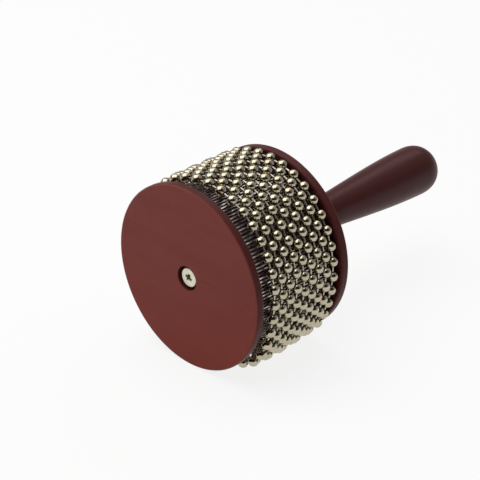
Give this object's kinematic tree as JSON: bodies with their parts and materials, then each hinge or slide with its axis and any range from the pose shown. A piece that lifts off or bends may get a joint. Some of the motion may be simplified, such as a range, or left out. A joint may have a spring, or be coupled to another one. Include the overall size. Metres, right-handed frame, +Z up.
{
  "type": "cabasa",
  "caption": "Hand percussion instrument: loops of ball chain that turn on a ribbed steel drum between two wooden discs, on a turned handle.",
  "frame": {"origin": "on the surface it lies on, below the middle of its whole length", "axes": "+Y along the drum from the front disc to the handle, +Z up"},
  "size_m": [0.09, 0.166, 0.0907],
  "materials": {
    "disc_wood": "mahogany stain under satin lacquer",
    "handle_wood": "dark mahogany stain under satin lacquer, turned",
    "core_wood": "plain turned hardwood, hidden",
    "sleeve_steel": "ribbed sheet, dark and lightly brushed",
    "tack_steel": "plain steel brads, hidden",
    "ball_nickel": "polished, pale warm nickel",
    "link_nickel": "drawn wire, pale warm nickel",
    "screw_nickel": "nickel plated, satin",
    "insert_brass": "turned brass, hidden"
  },
  "bodies": {
    "drum": {"front_disc": "disc_wood", "rear_disc": "disc_wood", "core_drum": "core_wood", "ribbed_sleeve": "sleeve_steel", "sleeve_tacks": "tack_steel", "clamp_screw": "screw_nickel", "threaded_insert": "insert_brass", "handle": "handle_wood"},
    "loop_1": {"ball_loop_1": "ball_nickel", "loop_links_1": "link_nickel"},
    "loop_2": {"ball_loop_2": "ball_nickel", "loop_links_2": "link_nickel"},
    "loop_3": {"ball_loop_3": "ball_nickel", "loop_links_3": "link_nickel"},
    "loop_4": {"ball_loop_4": "ball_nickel", "loop_links_4": "link_nickel"},
    "loop_5": {"ball_loop_5": "ball_nickel", "loop_links_5": "link_nickel"},
    "loop_6": {"ball_loop_6": "ball_nickel", "loop_links_6": "link_nickel"},
    "loop_7": {"ball_loop_7": "ball_nickel", "loop_links_7": "link_nickel"},
    "loop_8": {"ball_loop_8": "ball_nickel", "loop_links_8": "link_nickel"},
    "loop_9": {"ball_loop_9": "ball_nickel", "loop_links_9": "link_nickel"}
  },
  "joints": [
    {"name": "loop_1_turn", "type": "hinge", "parent": "drum", "child": "loop_1", "pos_m": [0, -0.0691, 0.045], "axis": [0, 1, 0], "continuous": true},
    {"name": "loop_2_turn", "type": "hinge", "parent": "drum", "child": "loop_2", "pos_m": [0, -0.06437, 0.045], "axis": [0, 1, 0], "continuous": true},
    {"name": "loop_3_turn", "type": "hinge", "parent": "drum", "child": "loop_3", "pos_m": [0, -0.05964, 0.045], "axis": [0, 1, 0], "continuous": true},
    {"name": "loop_4_turn", "type": "hinge", "parent": "drum", "child": "loop_4", "pos_m": [0, -0.05491, 0.045], "axis": [0, 1, 0], "continuous": true},
    {"name": "loop_5_turn", "type": "hinge", "parent": "drum", "child": "loop_5", "pos_m": [0, -0.05018, 0.045], "axis": [0, 1, 0], "continuous": true},
    {"name": "loop_6_turn", "type": "hinge", "parent": "drum", "child": "loop_6", "pos_m": [0, -0.04545, 0.045], "axis": [0, 1, 0], "continuous": true},
    {"name": "loop_7_turn", "type": "hinge", "parent": "drum", "child": "loop_7", "pos_m": [0, -0.04072, 0.045], "axis": [0, 1, 0], "continuous": true},
    {"name": "loop_8_turn", "type": "hinge", "parent": "drum", "child": "loop_8", "pos_m": [0, -0.03599, 0.045], "axis": [0, 1, 0], "continuous": true},
    {"name": "loop_9_turn", "type": "hinge", "parent": "drum", "child": "loop_9", "pos_m": [0, -0.03126, 0.045], "axis": [0, 1, 0], "continuous": true}
  ],
  "couplings": [
    {"joint": "loop_2_turn", "follows": "loop_1_turn", "ratio": 1},
    {"joint": "loop_3_turn", "follows": "loop_1_turn", "ratio": 1},
    {"joint": "loop_4_turn", "follows": "loop_1_turn", "ratio": 1},
    {"joint": "loop_5_turn", "follows": "loop_1_turn", "ratio": 1},
    {"joint": "loop_6_turn", "follows": "loop_1_turn", "ratio": 1},
    {"joint": "loop_7_turn", "follows": "loop_1_turn", "ratio": 1},
    {"joint": "loop_8_turn", "follows": "loop_1_turn", "ratio": 1},
    {"joint": "loop_9_turn", "follows": "loop_1_turn", "ratio": 1}
  ]
}
